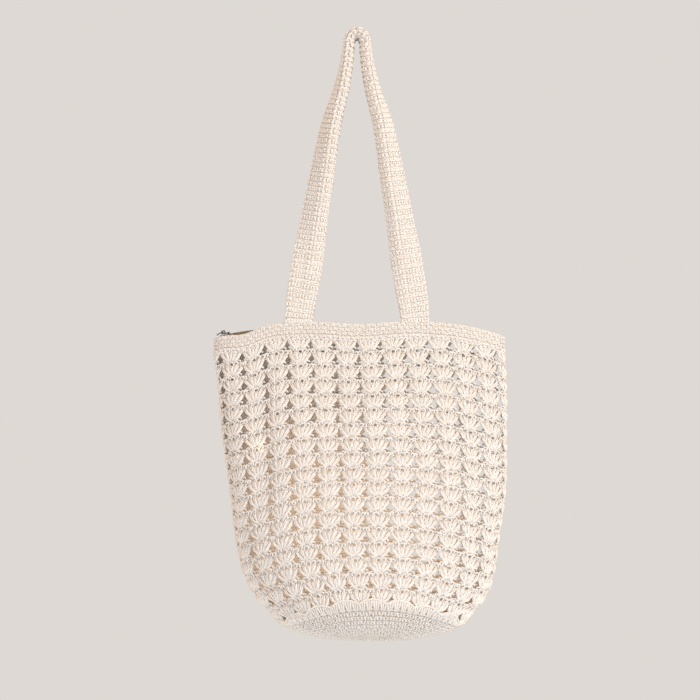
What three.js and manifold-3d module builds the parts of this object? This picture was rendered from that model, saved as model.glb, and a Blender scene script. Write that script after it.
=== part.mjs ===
// Crochet tote bag: a lacy shell-stitch body on a round solid base, a plain rim, two flat
// handles that fold lengthwise where they hang together, and an open zip inside the mouth.
// Millimetres. +X is to the right as seen from the front, -Y is the front, +Z is up.
// The origin is the point under the handles where they hang.
import * as THREE from "three";
import { mergeVertices } from "three/addons/utils/BufferGeometryUtils.js";
import Module from "manifold-3d";

const wasm = await Module();
wasm.setup();
const { Manifold, Mesh } = wasm;

// Cloth
const CLOTH = 5; // thickness of the crocheted cloth
const SEAM_GAP = 0.3; // space left between two pieces that are sewn together

// Handles
const HANDLE_DROP = 311; // from the hanging point down to the rim
const HANDLE_WIDTH = 32;
const HANDLE_SPREAD = 120; // between the fold lines of the two legs, at the rim
const HANDLE_CLOTH = 5; // thickness of the handle's cloth
const FOLD_SHARE = 1 / 3; // share of the handle's width on the inner side of its fold
const FOLD_ROUND = 5; // half the length of the rounded stretch at the fold
const HANDLES_APART = 45; // between the two handles' fold lines at the top
const TOP_RADIUS = 9.5; // radius of each handle's fold line where it turns over the top
const APART_DOWN_TO = 0.1; // share of HANDLE_DROP down to which they stay that far apart

// Rim and mouth
const RIM_HEIGHT = 20;
const MOUTH_WIDTH = 316; // between the side folds, at mid cloth
const CORNER_DROOP = 18; // how far the rim sinks from the handles to the side folds
const MIDDLE_DIP = 4; // how far the rim sinks between the handles
const DIP_REACH = 0.62; // half the width of that dip, as a share of HANDLE_SPREAD
const LEFT_SLUMP = 6; // how far the rim sags near the closed end of the zip, on the left
const SLUMP_PLACE = -0.8; // where it sags most, from -1 at the left fold to 1 at the right
const SLUMP_REACH = 0.12; // half the width of that sag, as a share of half the mouth
const RIM_TILT = 0.8; // how much higher the right corner is than the middle

// Body and base
const SIDE_DROP = 307; // from the rim's lower edge to the side ends of the base
const FRONT_DROP = 281; // the same to the middle of the base's front edge
const BACK_DROP = 287;
const BODY_DEPTH = 130; // from the back to the front, where the base joins
const BASE_SAG = 43; // how far the base sinks below its own front edge
const BASE_ROUNDNESS = 3; // how level the middle of the base is

// Gaps cut through the lace, each standing for four of the real ones
const GAP_COLUMNS = 6; // on each side of the bag
const GAP_ROWS = 9;
const GAP_WIDTH = 14;
const GAP_HEIGHT = 20;
const GAP_SHOULDER = 0.64; // share of the gap's height from its tip to its widest line
const FIRST_GAP = 0.06; // middle of the first and last rows of gaps, as shares of the rows
const LAST_GAP = 0.93;

// Zip
const TAPE_THICKNESS = 1;
const TAPE_SEWN = 8; // height of the part that is sewn to the rim
const TAPE_INSET = 2.5; // from the rim's top to the tape, at least
const COIL_WIDTH = 2.4;
const COIL_HEIGHT = 3;
const ZIP_INSET = 5; // the coil's top below the rim's top, at the handles
const ZIP_DROOP = 11; // how far the zip sinks towards its ends
const ZIP_OPEN = 20; // between the middles of the two coils, halfway along
const ZIP_CLOSED = 2.7; // the same at the two ends
const SLIDER_PLACE = 7; // from the zip's left end to the slider's middle
const SLIDER_LENGTH = 9;
const SLIDER_WIDTH = 7;
const SLIDER_NOSE = 0.6; // width of its two ends, as a share of its width
const SLIDER_PLATE = 1.1; // thickness
const SLIDER_POST = 1.5; // width of the post between the two coils
const BAIL_WIRE = 1;
const BAIL_LENGTH = 4.4;
const BAIL_CLEARANCE = 2; // free height under the bail
const PULL_LENGTH = 8;
const PULL_WIDTH = 4.4;
const PULL_THICKNESS = 1;
const PULL_EYE = 2.9; // free length of the eye that the bail goes through
const PULL_EYE_WIDTH = 1.9;
const PULL_REST = 5; // degrees that the eye slopes below the slider's top
const PULL_CURVE = 8; // radius of the pull's bend beyond its eye

// Facets
const SIDE_CELLS = 20; // across the front, and across the back
const FOLD_CELLS = [0, 0.6, 1.25]; // edges of the narrower cells next to a side fold
const CELLS_PER_GAP = 3;
const LOW_ROW = 0.95; // a row of facets more, where the body turns under
const BASE_RINGS = 5;
const LEG_STEPS = 15;
const TOP_STEPS = 6;
const PULL_STEPS = 6;

// The body from rim to base. down: share of the rows. left, right: side folds, as shares of
// half the mouth width. sideOut, frontOut, backOut: distance forward of the hanging point, as
// shares of BODY_DEPTH. blunt: 1 is an ellipse, less is blunter at the side folds. crest: how
// far towards the sides the rows keep level before they fall away.
const SECTIONS = [
  { down: 0.0, left: 0.987, right: 1.019, sideOut: 0.0, frontOut: 0.164, backOut: -0.131,
    blunt: 0.72, crest: 3.4 },
  { down: 0.12, left: 0.956, right: 1.028, sideOut: 0.03, frontOut: 0.25, backOut: -0.136,
    blunt: 0.76, crest: 3.2 },
  { down: 0.3, left: 0.926, right: 1.027, sideOut: 0.075, frontOut: 0.4, backOut: -0.139,
    blunt: 0.8, crest: 2.9 },
  { down: 0.5, left: 0.872, right: 1.018, sideOut: 0.15, frontOut: 0.55, backOut: -0.139,
    blunt: 0.82, crest: 2.7 },
  { down: 0.66, left: 0.834, right: 0.975, sideOut: 0.22, frontOut: 0.67, backOut: -0.139,
    blunt: 0.82, crest: 2.5 },
  { down: 0.8, left: 0.78, right: 0.935, sideOut: 0.285, frontOut: 0.77, backOut: -0.139,
    blunt: 0.82, crest: 2.3 },
  { down: 0.9, left: 0.689, right: 0.875, sideOut: 0.325, frontOut: 0.835, backOut: -0.131,
    blunt: 0.82, crest: 2.2 },
  { down: 1.0, left: 0.513, right: 0.722, sideOut: 0.365, frontOut: 0.861, backOut: -0.107,
    blunt: 0.82, crest: 2.1 },
];

// Soft upright folds in the body. around: share of the way round from the left fold, by the
// front. depth: millimetres inwards. width: share of the way round. from, to: shares of the rows.
const FOLDS = [
  { around: 0.085, depth: 3.5, width: 0.022, from: 0.0, to: 0.75 },
  { around: 0.2, depth: 3.0, width: 0.035, from: 0.0, to: 0.6 },
  { around: 0.33, depth: 3.5, width: 0.03, from: 0.05, to: 0.7 },
  { around: 0.43, depth: 4.5, width: 0.024, from: 0.0, to: 0.85 },
  { around: 0.64, depth: 2.5, width: 0.04, from: 0.0, to: 0.6 },
  { around: 0.86, depth: 2.5, width: 0.04, from: 0.0, to: 0.6 },
];

// One leg of a handle from its top bend to the rim. drop: share of HANDLE_DROP. apart: share
// of HANDLE_SPREAD between the two fold lines. wide: share of HANDLE_WIDTH. outer, inner:
// degrees that the parts outside and inside the fold line turn away from the viewer.
const LEG = [
  { drop: 0.011, apart: 0.158, wide: 1.0, outer: 88, inner: 70 },
  { drop: 0.1, apart: 0.206, wide: 1.0, outer: 82, inner: 66 },
  { drop: 0.19, apart: 0.295, wide: 1.0, outer: 75, inner: 60 },
  { drop: 0.295, apart: 0.426, wide: 1.0, outer: 61, inner: 54 },
  { drop: 0.4, apart: 0.513, wide: 1.0, outer: 49, inner: 48 },
  { drop: 0.505, apart: 0.587, wide: 1.0, outer: 37, inner: 42 },
  { drop: 0.645, apart: 0.703, wide: 1.02, outer: 28, inner: 38 },
  { drop: 0.786, apart: 0.806, wide: 1.09, outer: 12, inner: 22 },
  { drop: 0.9, apart: 0.905, wide: 1.05, outer: 4, inner: 9 },
  { drop: 1.0, apart: 1.0, wide: 0.94, outer: 0, inner: 0 },
];

const RIM_FOOT = HANDLE_DROP + RIM_HEIGHT;
const HALF_MOUTH = MOUTH_WIDTH / 2;
const HALF_CLOTH = CLOTH / 2;
const AROUND = 2 * SIDE_CELLS;
const MOUTH_CENTRE = ((SECTIONS[0].right - SECTIONS[0].left) / 2) * HALF_MOUTH;
const MOUTH_REACH = ((SECTIONS[0].right + SECTIONS[0].left) / 2) * HALF_MOUTH;

// A smooth curve through one column of a table.
function along(rows, key, column, at) {
  let i = 0;
  while (i < rows.length - 2 && at > rows[i + 1][key]) i += 1;
  const slope = (j) => {
    const a = rows[Math.max(j - 1, 0)];
    const b = rows[Math.min(j + 1, rows.length - 1)];
    return (b[column] - a[column]) / (b[key] - a[key]);
  };
  const [p, q] = [rows[i], rows[i + 1]];
  const step = q[key] - p[key];
  const t = THREE.MathUtils.clamp((at - p[key]) / step, 0, 1);
  const rise = q[column] - p[column];
  const lead = slope(i) * step - rise;
  const trail = slope(i + 1) * step - rise;
  return p[column] + t * rise + t * (1 - t) * ((1 - t) * lead - t * trail);
}

const bump = (distance, width) => Math.exp(-((distance / width) ** 2));
const shares = (count, from = 0, to = 1) =>
  Array.from({ length: count + 1 }, (_, i) => from + ((to - from) * i) / count);

// How far the rim's line departs from level at a share across the mouth, from -1 to 1.
function rimLine(across) {
  const dip = MIDDLE_DIP * bump(across, (DIP_REACH * HANDLE_SPREAD) / MOUTH_WIDTH);
  const slump = LEFT_SLUMP * bump(across - SLUMP_PLACE, SLUMP_REACH);
  return RIM_TILT * across - dip - slump;
}

// Height of the rim's top, at x.
function rimTop(x) {
  const across = THREE.MathUtils.clamp((x - MOUTH_CENTRE) / MOUTH_REACH, -1, 1);
  const droop = CORNER_DROOP * Math.abs(across) ** SECTIONS[0].crest;
  return -HANDLE_DROP - droop + rimLine(across);
}

// The rim's middle line seen from above: its y at x.
function rimOut(x, front) {
  const across = (x - MOUTH_CENTRE) / MOUTH_REACH;
  const share = front ? SECTIONS[0].frontOut : SECTIONS[0].backOut;
  return -share * BODY_DEPTH * (1 - across ** 2) ** (SECTIONS[0].blunt / 2);
}

// A point of the body's mid surface. turn: angle of the section, PI at the left fold, then by
// the front to 0 at the right fold. down: share of the rows.
function bodyPoint(turn, down) {
  const get = (column) => along(SECTIONS, "down", column, down);
  const across = Math.cos(turn);
  const front = Math.sin(turn) >= 0;
  const lift = Math.abs(Math.sin(turn)) ** get("blunt");
  const middle = ((get("right") - get("left")) / 2) * HALF_MOUTH;
  const reach = ((get("right") + get("left")) / 2) * HALF_MOUTH;
  const sideOut = get("sideOut");
  const out = sideOut + (get(front ? "frontOut" : "backOut") - sideOut) * lift;
  const level = 1 - Math.abs(across) ** get("crest");
  const sideDrop = CORNER_DROOP + (SIDE_DROP - CORNER_DROOP) * down;
  const midDrop = (front ? FRONT_DROP : BACK_DROP) * down;
  const drop = sideDrop + (midDrop - sideDrop) * level - rimLine(across) * (1 - down) ** 3;
  return new THREE.Vector3(middle + reach * across, -out * BODY_DEPTH, -RIM_FOOT - drop);
}

// Angles of a section that divide its front and its back into equal lengths.
function evenTurns(down, count) {
  const fine = 20 * count;
  const turns = [];
  for (const start of [Math.PI, 0]) {
    const lengths = [0];
    let last = bodyPoint(start, down);
    for (let i = 1; i <= fine; i += 1) {
      const next = bodyPoint(start - (Math.PI * i) / fine, down);
      lengths.push(lengths[i - 1] + next.distanceTo(last));
      last = next;
    }
    let i = 0;
    for (let k = 0; k < count / 2; k += 1) {
      const wanted = (lengths[fine] * k) / (count / 2);
      while (lengths[i + 1] <= wanted) i += 1;
      const part = (wanted - lengths[i]) / (lengths[i + 1] - lengths[i]);
      turns.push(start - (Math.PI * (i + part)) / fine);
    }
  }
  return turns;
}

function foldDepth(around, down) {
  let depth = 0;
  for (const fold of FOLDS) {
    const middle = (fold.from + fold.to) / 2;
    const half = (fold.to - fold.from) / 2;
    const fade = Math.max(0, 1 - ((down - middle) / half) ** 2);
    depth += fold.depth * bump(around - fold.around, fold.width) * fade;
  }
  return depth;
}

const turnsAt = new Map();

// A point of the body's mid cloth, with the outward normal there and the way its rows fall.
// around: share of the way round from the left fold, by the front.
function bodyFrame(around, down) {
  if (!turnsAt.has(down)) turnsAt.set(down, [...evenTurns(down, 2 * AROUND), -Math.PI]);
  const turns = turnsAt.get(down);
  const place = (((around % 1) + 1) % 1) * 2 * AROUND;
  const i = Math.floor(place);
  const turn = THREE.MathUtils.lerp(turns[i], turns[i + 1], place - i);
  const step = 1e-3;
  const side = bodyPoint(turn - step, down).sub(bodyPoint(turn + step, down));
  const low = bodyPoint(turn, Math.min(down + step, 1));
  const fall = low.sub(bodyPoint(turn, Math.max(down - step, 0))).normalize();
  const normal = new THREE.Vector3().crossVectors(fall, side);
  if (down === 0) normal.setZ(0);
  normal.normalize();
  const point = bodyPoint(turn, down).addScaledVector(normal, -foldDepth(around, down));
  return { point, normal, fall };
}

// A closed mesh through rings of points. A looped one joins its last ring to its first, and
// otherwise a ring's first half faces its second half and the two ends are closed across.
function loft(rings, looped = false) {
  const count = rings[0].length;
  const points = rings.flat();
  const faces = [];
  const last = rings.length - 1;
  for (let r = 0; r < (looped ? rings.length : last); r += 1) {
    const a = r * count;
    const b = ((r + 1) % rings.length) * count;
    for (let i = 0; i < count; i += 1) {
      const j = (i + 1) % count;
      faces.push([a + i, a + j, b + j], [a + i, b + j, b + i]);
    }
  }
  if (!looped) {
    const end = last * count;
    for (let i = 0; i < count / 2 - 1; i += 1) {
      const [j, k, l] = [i + 1, count - 2 - i, count - 1 - i];
      faces.push([i, k, j], [i, l, k], [end + i, end + j, end + k], [end + i, end + k, end + l]);
    }
  }
  const volumeOf = ([a, b, c]) =>
    points[a].dot(new THREE.Vector3().crossVectors(points[b], points[c]));
  const outward = faces.reduce((sum, face) => sum + volumeOf(face), 0) > 0;
  const geometry = new THREE.BufferGeometry().setFromPoints(points);
  geometry.setIndex(faces.flatMap(([a, b, c]) => (outward ? [a, b, c] : [a, c, b])));
  geometry.computeVertexNormals();
  return geometry;
}

// A geometry as a solid that can be cut and joined, and back.
function toSolid(geometry) {
  const bare = new THREE.BufferGeometry();
  bare.setAttribute("position", geometry.getAttribute("position"));
  bare.setIndex(geometry.index);
  const merged = mergeVertices(bare, 1e-4);
  return new Manifold(new Mesh({
    numProp: 3,
    vertProperties: new Float32Array(merged.attributes.position.array),
    triVerts: new Uint32Array(merged.index.array),
  }));
}

function toGeometry(solid) {
  const mesh = solid.getMesh();
  const points = [];
  for (let i = 0; i < mesh.numVert; i += 1) {
    points.push(new THREE.Vector3().fromArray(mesh.vertProperties, i * mesh.numProp));
  }
  const geometry = new THREE.BufferGeometry().setFromPoints(points);
  geometry.setIndex(Array.from(mesh.triVerts));
  geometry.computeVertexNormals();
  return geometry;
}

// A flat outline of [x, y] pairs, made into a slab that is centred on its own mid plane.
function slab(outline, thickness, holes = []) {
  const toPath = (pairs, Kind) => new Kind(pairs.map(([x, y]) => new THREE.Vector2(x, y)));
  const shape = toPath(outline, THREE.Shape);
  shape.holes = holes.map((hole) => toPath(hole, THREE.Path));
  const settings = { depth: thickness, bevelEnabled: false };
  return new THREE.ExtrudeGeometry(shape, settings).translate(0, 0, -thickness / 2);
}

// Shares of the way round where the facets meet.
const FRONT_CELLS = [
  ...FOLD_CELLS,
  ...shares(SIDE_CELLS).map((share) => share * SIDE_CELLS).slice(2, -2),
  ...[...FOLD_CELLS].reverse().slice(0, -1).map((cell) => SIDE_CELLS - cell),
];
const aroundShares = [0, SIDE_CELLS].flatMap((start) =>
  FRONT_CELLS.map((cell) => (start + cell) / AROUND));

// Rings of both faces of a stretch of cloth: outside downwards, then inside upwards.
function clothRings(steps, ringAt) {
  const outside = steps.map((step) => ringAt(step, HALF_CLOTH));
  const inside = [...steps].reverse().map((step) => ringAt(step, -HALF_CLOTH));
  return [...outside, ...inside];
}

function bodyRing(down, distance) {
  return aroundShares.map((around) => {
    const { point, normal } = bodyFrame(around, down);
    return point.addScaledVector(normal, distance);
  });
}

// A kite-shaped bar through the cloth, tip up.
function gapCutter(around, down) {
  const { point, normal, fall } = bodyFrame(around, down);
  const tip = GAP_SHOULDER * GAP_HEIGHT;
  const kite = [[0, -tip], [GAP_WIDTH / 2, 0], [0, GAP_HEIGHT - tip], [-GAP_WIDTH / 2, 0]];
  const bar = slab(kite, 4 * CLOTH);
  const sideways = new THREE.Vector3().crossVectors(fall, normal).normalize();
  const upright = new THREE.Vector3().crossVectors(normal, sideways);
  const place = new THREE.Matrix4().makeBasis(sideways, upright, normal).setPosition(point);
  return toSolid(bar.applyMatrix4(place));
}

// The facets meet halfway between two rows of gaps.
function laceBody() {
  const gapRows = shares(GAP_ROWS - 1, FIRST_GAP, LAST_GAP);
  const between = gapRows.slice(1).map((down, i) => (down + gapRows[i]) / 2);
  let solid = toSolid(loft(clothRings([0, ...between, LOW_ROW, 1], bodyRing), true));
  for (const side of [0, 1]) {
    for (let column = 0; column < GAP_COLUMNS; column += 1) {
      const cell = CELLS_PER_GAP * (column + 0.5) + 1 + side * SIDE_CELLS;
      for (const down of gapRows) solid = solid.subtract(gapCutter(cell / AROUND, down));
    }
  }
  return toGeometry(solid);
}

// The rim stands on the body's upper edge and follows its line.
function rimBand() {
  const ringAt = (up, distance) =>
    aroundShares.map((around) => {
      const { point, normal } = bodyFrame(around, 0);
      point.z += SEAM_GAP + up * (RIM_HEIGHT - SEAM_GAP);
      return point.addScaledVector(normal, distance);
    });
  return loft(clothRings([0, 0.5, 1], ringAt), true);
}

// The base is a solid round that hangs from the body's lower edge. out: share of the way
// from its middle to its edge.
function basePoint(around, out) {
  const edge = bodyFrame(around, 1);
  const start = edge.point.addScaledVector(edge.fall, SEAM_GAP);
  const front = bodyPoint(Math.PI / 2, 1);
  const middle = bodyPoint(-Math.PI / 2, 1).add(front).multiplyScalar(0.5);
  const low = front.z - BASE_SAG;
  return middle.lerp(start, out).setZ(low + (start.z - low) * out ** BASE_ROUNDNESS);
}

function baseRing(out, distance) {
  const step = 0.01;
  return aroundShares.map((around) => {
    const point = basePoint(around, out);
    const side = basePoint(around + step, out).sub(basePoint(around - step, out));
    const inwards = basePoint(around, out - step).sub(point);
    const normal = new THREE.Vector3().crossVectors(inwards, side).normalize();
    return point.addScaledVector(out < 1 ? normal : bodyFrame(around, 1).normal, distance);
  });
}

function roundBase() {
  const outs = shares(BASE_RINGS - 1, 1 / BASE_RINGS, 1);
  return loft(clothRings(outs, baseRing));
}

// The middle line of a handle's cloth in its own section: out from the loop, and towards the
// viewer, with the fold line at 0, 0.
function handleProfile({ wide, outer, inner }) {
  const outerEnd = (FOLD_SHARE - 1) * wide * HANDLE_WIDTH;
  const innerEnd = FOLD_SHARE * wide * HANDLE_WIDTH;
  const heading = (place) => {
    const part = THREE.MathUtils.smoothstep(place, -FOLD_ROUND, FOLD_ROUND);
    return THREE.MathUtils.degToRad(THREE.MathUtils.lerp(outer, -inner, part));
  };
  const walk = (end) => {
    const steps = 24;
    const spot = { out: 0, front: 0, angle: heading(end) };
    for (let i = 0; i < steps; i += 1) {
      const angle = heading((end * (i + 0.5)) / steps);
      spot.out -= (Math.cos(angle) * end) / steps;
      spot.front += (Math.sin(angle) * end) / steps;
    }
    return spot;
  };
  const places = [outerEnd, 0.6 * outerEnd, -FOLD_ROUND, 0, FOLD_ROUND, innerEnd];
  return places.map(walk);
}

// One ring of the handle's cloth round a point of its fold line.
function handleRing(centre, outwards, viewer, section) {
  const spots = handleProfile(section);
  const ringSide = (distance) =>
    spots.map(({ out, front, angle }) =>
      centre.clone()
        .addScaledVector(outwards, out + Math.sin(angle) * distance)
        .addScaledVector(viewer, front + Math.cos(angle) * distance));
  return [...ringSide(HANDLE_CLOTH / 2), ...ringSide(-HANDLE_CLOTH / 2).reverse()];
}

// A handle from its left foot over the top to its right foot.
function handle(front) {
  const viewer = new THREE.Vector3(0, front ? -1 : 1, 0);
  const get = (column, drop) => along(LEG, "drop", column, drop);
  const foldLine = (drop, side) => {
    const x = (side * get("apart", drop) * HANDLE_SPREAD) / 2;
    const topY = (viewer.y * HANDLES_APART) / 2;
    const footY = rimOut((side * HANDLE_SPREAD) / 2, front);
    const y = THREE.MathUtils.lerp(topY, footY, THREE.MathUtils.smoothstep(drop, APART_DOWN_TO, 1));
    return new THREE.Vector3(x, y, -drop * HANDLE_DROP);
  };
  const legRing = (side) => (drop) => {
    const step = 0.01;
    const top = foldLine(Math.max(drop - step, LEG[0].drop), side);
    const rise = top.sub(foldLine(Math.min(drop + step, 1), side));
    const outwards = new THREE.Vector3(side * rise.z, 0, -side * rise.x).normalize();
    const [wide, outer, inner] = ["wide", "outer", "inner"].map((column) => get(column, drop));
    const ring = handleRing(foldLine(drop, side), outwards, viewer, { wide, outer, inner });
    return drop < 1 ? ring : ring.map((p) => p.setZ(rimTop(p.x) + SEAM_GAP));
  };
  const topRing = (share) => {
    const angle = Math.PI * (1 - share);
    const spring = foldLine(LEG[0].drop, 1);
    const outwards = new THREE.Vector3(Math.cos(angle), 0, Math.sin(angle));
    const reach = new THREE.Vector3(spring.x, 0, TOP_RADIUS).multiply(outwards);
    const centre = spring.setX(0).add(reach);
    return handleRing(centre, outwards, viewer, LEG[0]);
  };
  const drops = shares(LEG_STEPS, LEG[0].drop, 1);
  return loft([
    ...[...drops].reverse().map(legRing(-1)),
    ...shares(TOP_STEPS).slice(1, TOP_STEPS).map(topRing),
    ...drops.map(legRing(1)),
  ]);
}

// The zip. place: -1 at its left end, 1 at its right end. side: -1 at the front, 1 at the back.
const rimVertex = (step, side) => bodyFrame(aroundShares.at(-side * step), 0);
const ZIP_REACH = MOUTH_CENTRE - rimVertex(1, -1).point.x;
const ZIP_STEPS = FRONT_CELLS.length - 2;

function zipPoint(place, side) {
  const x = MOUTH_CENTRE + place * ZIP_REACH;
  const middle = (rimOut(x, true) + rimOut(x, false)) / 2;
  const apart = ZIP_CLOSED + (ZIP_OPEN - ZIP_CLOSED) * (1 - place ** 2);
  const top = -HANDLE_DROP - ZIP_INSET - ZIP_DROOP * Math.abs(place) ** 3;
  return new THREE.Vector3(x, middle + (side * apart) / 2, top - COIL_HEIGHT / 2);
}

const corner = (point, y, z) => point.clone().add(new THREE.Vector3(0, y, z));

function zipCoil(side) {
  const [w, h] = [COIL_WIDTH / 2, COIL_HEIGHT / 2];
  return loft(shares(ZIP_STEPS, -1, 1).map((place) => {
    const point = zipPoint(place, side);
    return [corner(point, -w, h), corner(point, w, h), corner(point, w, -h), corner(point, -w, -h)];
  }));
}

// Each tape runs from its coil to the inside of the rim and down along it.
function zipTape(side) {
  const half = TAPE_THICKNESS / 2;
  return loft(shares(ZIP_STEPS, -1, 1).map((place, i) => {
    const edge = zipPoint(place, side);
    edge.y += side * (COIL_WIDTH / 2 + SEAM_GAP);
    const { point, normal } = rimVertex(i + 1, side);
    point.addScaledVector(normal, -HALF_CLOTH - SEAM_GAP - half);
    point.z = Math.min(edge.z, rimTop(point.x) - TAPE_INSET);
    const hem = corner(point, 0, -TAPE_SEWN);
    const outwards = normal.clone().multiplyScalar(half);
    const above = new THREE.Vector3(0, 0, half);
    return [
      edge.clone().add(above),
      point.clone().add(outwards).add(above),
      hem.clone().add(outwards),
      hem.clone().sub(outwards),
      point.clone().sub(outwards).sub(above),
      edge.clone().sub(above),
    ];
  }));
}

// Where the slider sits on the zip, and how it slopes there.
function sliderPlace() {
  const place = SLIDER_PLACE / ZIP_REACH - 1;
  const step = 0.01;
  const at = (p) => zipPoint(p, -1).add(zipPoint(p, 1)).multiplyScalar(0.5);
  const run = at(place + step).sub(at(place - step));
  const slope = Math.atan2(run.z, run.x);
  return new THREE.Matrix4().makeRotationY(-slope).setPosition(at(place));
}

const CHANNEL = COIL_HEIGHT / 2 + SEAM_GAP; // from the slider's middle to its plates
const BAIL_X = (BAIL_LENGTH - SLIDER_LENGTH) / 2;
const BAIL_FOOT = CHANNEL + SLIDER_PLATE;
const HINGE = new THREE.Vector3(BAIL_X, 0, BAIL_FOOT + BAIL_CLEARANCE / 2);

function zipSlider() {
  const [l, w] = [SLIDER_LENGTH / 2, SLIDER_WIDTH / 2];
  const upper = [[-l, SLIDER_NOSE * w], [0.2 * l, w], [0.8 * l, w], [l, SLIDER_NOSE * w]];
  const lower = upper.map(([x, y]) => [x, -y]).reverse();
  const plate = (z) => slab([...upper, ...lower], SLIDER_PLATE).translate(0, 0, z);
  const plateMiddle = CHANNEL + SLIDER_PLATE / 2;
  const postHeight = 2 * CHANNEL + SLIDER_PLATE;
  const post = new THREE.BoxGeometry(0.4 * l, SLIDER_POST, postHeight).translate(0.7 * l, 0, 0);
  const bailHalf = BAIL_LENGTH / 2;
  const bailTop = BAIL_CLEARANCE + BAIL_WIRE;
  const bevel = 0.6 * BAIL_WIRE;
  const sunk = -SLIDER_PLATE / 2;
  const right = [[bailHalf, sunk], [bailHalf, bailTop - bevel], [bailHalf - bevel, bailTop]];
  const left = right.map(([x, y]) => [-x, y]).reverse();
  const free = bailHalf - BAIL_WIRE;
  const inside = [[-free, sunk], [-free, BAIL_CLEARANCE], [free, BAIL_CLEARANCE], [free, sunk]];
  const bail = slab([...right, ...left, ...inside], BAIL_WIRE)
    .rotateX(Math.PI / 2).translate(BAIL_X, 0, BAIL_FOOT);
  const solids = [plate(plateMiddle), plate(-plateMiddle), post, bail].map(toSolid);
  return toGeometry(Manifold.union(solids)).applyMatrix4(sliderPlace());
}

// The pull hangs over the left end of the slider: a flat eye, then a blade that bends down.
function zipPull() {
  const straight = PULL_THICKNESS / 2 + PULL_EYE;
  const bent = PULL_LENGTH - straight;
  const half = PULL_THICKNESS / 2;
  const level = THREE.MathUtils.degToRad(PULL_REST);
  const spots = [{ x: 0, z: 0, angle: level }];
  const lengths = [straight, ...Array(PULL_STEPS).fill(bent / PULL_STEPS)];
  for (const [i, length] of lengths.entries()) {
    const from = spots[i];
    const middle = from.angle + (i > 0 ? length / (2 * PULL_CURVE) : 0);
    spots.push({
      x: from.x - length * Math.cos(middle),
      z: from.z - length * Math.sin(middle),
      angle: 2 * middle - from.angle,
    });
  }
  spots[0].x += half * Math.cos(level);
  spots[0].z += half * Math.sin(level);
  const face = (distance) => spots.map(({ x, z, angle }) =>
    [x - distance * Math.sin(angle), z + distance * Math.cos(angle)]);
  const blade = slab([...face(half), ...face(-half).reverse()], PULL_WIDTH).rotateX(Math.PI / 2);
  const eye = new THREE.BoxGeometry(PULL_EYE, PULL_EYE_WIDTH, 4 * PULL_THICKNESS)
    .translate(-half - PULL_EYE / 2, 0, 0).rotateY(-level);
  const solid = toSolid(blade).subtract(toSolid(eye));
  const place = sliderPlace().multiply(new THREE.Matrix4().setPosition(HINGE));
  return toGeometry(solid).applyMatrix4(place);
}

const COTTON = { color: 0xe9dfca, roughness: 0.95, metalness: 0 };
const DARKER_COTTON = { color: 0xe2d6bd, roughness: 0.95, metalness: 0 };
const TAPE = { color: 0x8a6f4e, roughness: 0.9, metalness: 0 };
const COIL = { color: 0x5b4632, roughness: 0.55, metalness: 0.2 };
const DARK_METAL = { color: 0x2e2a26, roughness: 0.4, metalness: 0.9 };

const group = new THREE.Group();

function add(name, geometry, look) {
  const mesh = new THREE.Mesh(geometry, new THREE.MeshStandardMaterial(look));
  mesh.name = name;
  group.add(mesh);
}

add("base_panel", roundBase(), DARKER_COTTON);
add("shell_stitch_body", laceBody(), COTTON);
add("rim_band", rimBand(), COTTON);
add("handle_front", handle(true), COTTON);
add("handle_back", handle(false), COTTON);
add("zipper_tape_front", zipTape(-1), TAPE);
add("zipper_tape_back", zipTape(1), TAPE);
add("zipper_coil_front", zipCoil(-1), COIL);
add("zipper_coil_back", zipCoil(1), COIL);
add("zipper_slider", zipSlider(), DARK_METAL);
add("zipper_pull", zipPull(), DARK_METAL);

export default group;
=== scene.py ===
"""The looks of a crochet tote bag that hangs by its handles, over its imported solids.

Every strand of yarn follows one of a few cloth surfaces, which repeat the part's own sizes.
Sizes are in millimetres until a mesh is made, and metres from there on.
"""

import math

import bpy
import numpy as np
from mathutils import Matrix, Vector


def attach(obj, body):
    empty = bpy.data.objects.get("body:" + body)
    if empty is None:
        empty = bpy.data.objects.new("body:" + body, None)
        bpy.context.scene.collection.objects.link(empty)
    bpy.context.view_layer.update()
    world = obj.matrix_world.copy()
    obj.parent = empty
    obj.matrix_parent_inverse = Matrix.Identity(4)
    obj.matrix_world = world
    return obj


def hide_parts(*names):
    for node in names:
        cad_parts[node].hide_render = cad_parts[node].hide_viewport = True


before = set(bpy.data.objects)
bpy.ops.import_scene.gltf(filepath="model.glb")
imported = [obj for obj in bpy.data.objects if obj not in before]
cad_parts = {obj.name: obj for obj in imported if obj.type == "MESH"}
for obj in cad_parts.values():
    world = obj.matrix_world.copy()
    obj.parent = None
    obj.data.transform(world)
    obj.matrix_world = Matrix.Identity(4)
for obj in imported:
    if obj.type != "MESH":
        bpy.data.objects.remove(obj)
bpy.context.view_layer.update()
MM = 0.001
rng = np.random.default_rng(11)

# The part's sizes
CLOTH = 5.0
HANDLE_DROP, HANDLE_WIDTH, HANDLE_SPREAD = 311.0, 32.0, 120.0
FOLD_SHARE, FOLD_ROUND, HANDLES_APART, TOP_RADIUS = 1 / 3, 5.0, 45.0, 9.5
RIM_HEIGHT, MOUTH_WIDTH, CORNER_DROOP, MIDDLE_DIP, RIM_TILT = 20.0, 316.0, 18.0, 4.0, 0.8
DIP_REACH, LEFT_SLUMP, SLUMP_PLACE, SLUMP_REACH = 0.62, 6.0, -0.8, 0.12
SIDE_DROP, FRONT_DROP, BACK_DROP, BODY_DEPTH = 307.0, 281.0, 287.0, 130.0
BASE_SAG, BASE_ROUNDNESS = 43.0, 3.0
TAPE_LOOK, TAPE_SEWN, TAPE_INSET = 0.7, 8.0, 2.5
COIL_WIDTH, COIL_HEIGHT = 2.4, 3.0
ZIP_INSET, ZIP_DROOP, ZIP_OPEN, ZIP_CLOSED = 5.0, 11.0, 20.0, 2.7
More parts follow.
